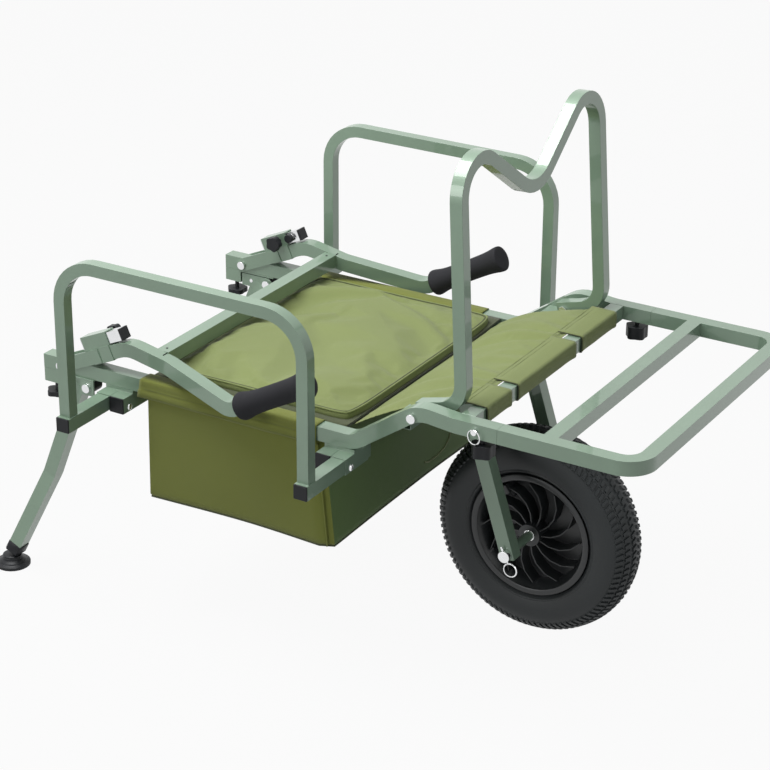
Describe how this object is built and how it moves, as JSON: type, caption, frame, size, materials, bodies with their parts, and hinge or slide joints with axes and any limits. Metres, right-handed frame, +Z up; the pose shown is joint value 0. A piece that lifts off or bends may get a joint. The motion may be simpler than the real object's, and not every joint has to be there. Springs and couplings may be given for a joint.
{
  "type": "folding fishing trolley",
  "caption": "Folding fishing trolley: square tube frame with a barrow wheel, slung bag, load hoops, front rack, fold-over handles and rear legs with swivel feet.",
  "frame": {"origin": "on the ground, under the middle of the trolley seen from above", "axes": "+X towards the wheel and rack, +Y to the left, +Z up"},
  "size_m": [1.256, 0.8606, 0.9072],
  "materials": {
    "green_paint": "satin powder coat",
    "chrome": "bright plated",
    "black_plastic": "moulded",
    "wheel_plastic": "moulded",
    "foam": "closed-cell foam",
    "tyre_rubber": "matt",
    "olive_cloth": "coated nylon weave"
  },
  "bodies": {
    "chassis": {"chassis_rail_right": "green_paint", "rear_bracket_right": "green_paint", "twin_socket_rear_right": "green_paint", "twin_socket_front_right": "green_paint", "socket_plug_rear_right": "black_plastic", "socket_plug_front_right": "black_plastic", "front_hoop_bolt_right": "chrome", "handle_bolt_right": "chrome", "wheel_strut_right": "green_paint", "chassis_rail_left": "green_paint", "rear_bracket_left": "green_paint", "twin_socket_rear_left": "green_paint", "twin_socket_front_left": "green_paint", "socket_plug_rear_left": "black_plastic", "socket_plug_front_left": "black_plastic", "front_hoop_bolt_left": "chrome", "handle_bolt_left": "chrome", "wheel_strut_left": "green_paint", "front_crossbar": "green_paint", "fork_crossbar": "green_paint", "axle": "chrome", "bag": "olive_cloth", "lid": "olive_cloth", "apron": "olive_cloth"},
    "front_hoop": {"front_hoop": "green_paint"},
    "rack": {"rack_frame": "green_paint"},
    "handle": {"handle_frame": "green_paint", "handle_sleeve_right": "green_paint", "handle_sleeve_left": "green_paint", "handle_grip_right": "foam", "handle_grip_left": "foam"},
    "wheel": {"tyre": "tyre_rubber", "rim": "wheel_plastic", "hub_bush": "chrome"},
    "linchpin": {"linchpin": "chrome"},
    "side_hoop_right": {"side_hoop_right": "green_paint", "hoop_cap_rear_right": "black_plastic", "hoop_cap_front_right": "black_plastic"},
    "rack_knob_right": {"rack_knob_right": "black_plastic"},
    "rack_pin_right": {"rack_pin_right": "chrome"},
    "lock_bar_right": {"lock_bar_right": "chrome"},
    "lock_knob_right": {"lock_knob_right": "black_plastic"},
    "bracket_knob_right": {"bracket_knob_right": "black_plastic"},
    "rear_leg_right": {"rear_leg_right": "green_paint"},
    "leg_pin_right": {"leg_pin_right": "chrome"},
    "foot_right": {"foot_right": "black_plastic"},
    "fork_knob_right": {"fork_knob_right": "black_plastic"},
    "side_hoop_left": {"side_hoop_left": "green_paint", "hoop_cap_rear_left": "black_plastic", "hoop_cap_front_left": "black_plastic"},
    "rack_knob_left": {"rack_knob_left": "black_plastic"},
    "rack_pin_left": {"rack_pin_left": "chrome"},
    "lock_bar_left": {"lock_bar_left": "chrome"},
    "lock_knob_left": {"lock_knob_left": "black_plastic"},
    "bracket_knob_left": {"bracket_knob_left": "black_plastic"},
    "rear_leg_left": {"rear_leg_left": "green_paint"},
    "leg_pin_left": {"leg_pin_left": "chrome"},
    "foot_left": {"foot_left": "black_plastic"},
    "fork_knob_left": {"fork_knob_left": "black_plastic"}
  },
  "joints": [
    {"name": "front_hoop_fold", "type": "hinge", "parent": "chassis", "child": "front_hoop", "pos_m": [0.22701, 0, 0.487], "axis": [0, -1, 0], "range_deg": [0, 85]},
    {"name": "rack_slide", "type": "slide", "parent": "chassis", "child": "rack", "axis": [1, 0, 0], "range_m": [0, 0.045]},
    {"name": "handle_fold", "type": "hinge", "parent": "chassis", "child": "handle", "pos_m": [-0.47099, 0, 0.416], "axis": [0, -1, 0], "range_deg": [0, 156]},
    {"name": "wheel_spin", "type": "hinge", "parent": "chassis", "child": "wheel", "pos_m": [0.31201, 0, 0.187], "axis": [0, 1, 0], "continuous": true},
    {"name": "linchpin_pull", "type": "slide", "parent": "chassis", "child": "linchpin", "axis": [0.4226, 0, -0.9063], "range_m": [0, 0.03]},
    {"name": "side_hoop_right_slide", "type": "slide", "parent": "chassis", "child": "side_hoop_right", "axis": [0, -1, 0], "range_m": [-0.08, 0.04]},
    {"name": "rack_knob_right_turn", "type": "hinge", "parent": "chassis", "child": "rack_knob_right", "pos_m": [0.34901, -0.2775, 0.4925], "axis": [0, 0, 1], "continuous": true},
    {"name": "rack_pin_right_pull", "type": "slide", "parent": "chassis", "child": "rack_pin_right", "axis": [0, -1, 0], "range_m": [0, 0.03]},
    {"name": "lock_bar_right_slide", "type": "slide", "parent": "handle", "child": "lock_bar_right", "axis": [0.9135, 0, 0.4067], "range_m": [0, 0.04]},
    {"name": "lock_knob_right_turn", "type": "hinge", "parent": "handle", "child": "lock_knob_right", "pos_m": [-0.38719, -0.2775, 0.48101], "axis": [0, 1, 0], "continuous": true},
    {"name": "bracket_knob_right_turn", "type": "hinge", "parent": "chassis", "child": "bracket_knob_right", "pos_m": [-0.49399, -0.2775, 0.3907], "axis": [0, 0, 1], "continuous": true},
    {"name": "rear_leg_right_fold", "type": "hinge", "parent": "chassis", "child": "rear_leg_right", "pos_m": [-0.41699, -0.2775, 0.3865], "axis": [0, -1, 0], "range_deg": [0, 50]},
    {"name": "leg_pin_right_pull", "type": "slide", "parent": "rear_leg_right", "child": "leg_pin_right", "axis": [0, -1, 0], "range_m": [0, 0.03]},
    {"name": "foot_right_swivel", "type": "hinge", "parent": "rear_leg_right", "child": "foot_right", "pos_m": [-0.59601, -0.30771, 0.016], "axis": [0, 1, 0], "range_deg": [-10, 10]},
    {"name": "fork_knob_right_turn", "type": "hinge", "parent": "chassis", "child": "fork_knob_right", "pos_m": [0.23634, -0.105, 0.427], "axis": [0.9537, 0, 0.3007], "continuous": true},
    {"name": "side_hoop_left_slide", "type": "slide", "parent": "chassis", "child": "side_hoop_left", "axis": [0, 1, 0], "range_m": [-0.08, 0.04]},
    {"name": "rack_knob_left_turn", "type": "hinge", "parent": "chassis", "child": "rack_knob_left", "pos_m": [0.34901, 0.2775, 0.4925], "axis": [0, 0, 1], "continuous": true},
    {"name": "rack_pin_left_pull", "type": "slide", "parent": "chassis", "child": "rack_pin_left", "axis": [0, 1, 0], "range_m": [0, 0.03]},
    {"name": "lock_bar_left_slide", "type": "slide", "parent": "handle", "child": "lock_bar_left", "axis": [0.9135, 0, 0.4067], "range_m": [0, 0.04]},
    {"name": "lock_knob_left_turn", "type": "hinge", "parent": "handle", "child": "lock_knob_left", "pos_m": [-0.38719, 0.2775, 0.48101], "axis": [0, -1, 0], "continuous": true},
    {"name": "bracket_knob_left_turn", "type": "hinge", "parent": "chassis", "child": "bracket_knob_left", "pos_m": [-0.49399, 0.2775, 0.3907], "axis": [0, 0, 1], "continuous": true},
    {"name": "rear_leg_left_fold", "type": "hinge", "parent": "chassis", "child": "rear_leg_left", "pos_m": [-0.41699, 0.2775, 0.3865], "axis": [0, -1, 0], "range_deg": [0, 50]},
    {"name": "leg_pin_left_pull", "type": "slide", "parent": "rear_leg_left", "child": "leg_pin_left", "axis": [0, 1, 0], "range_m": [0, 0.03]},
    {"name": "foot_left_swivel", "type": "hinge", "parent": "rear_leg_left", "child": "foot_left", "pos_m": [-0.59601, 0.30771, 0.016], "axis": [0, 1, 0], "range_deg": [-10, 10]},
    {"name": "fork_knob_left_turn", "type": "hinge", "parent": "chassis", "child": "fork_knob_left", "pos_m": [0.23634, 0.105, 0.427], "axis": [0.9537, 0, 0.3007], "continuous": true}
  ]
}
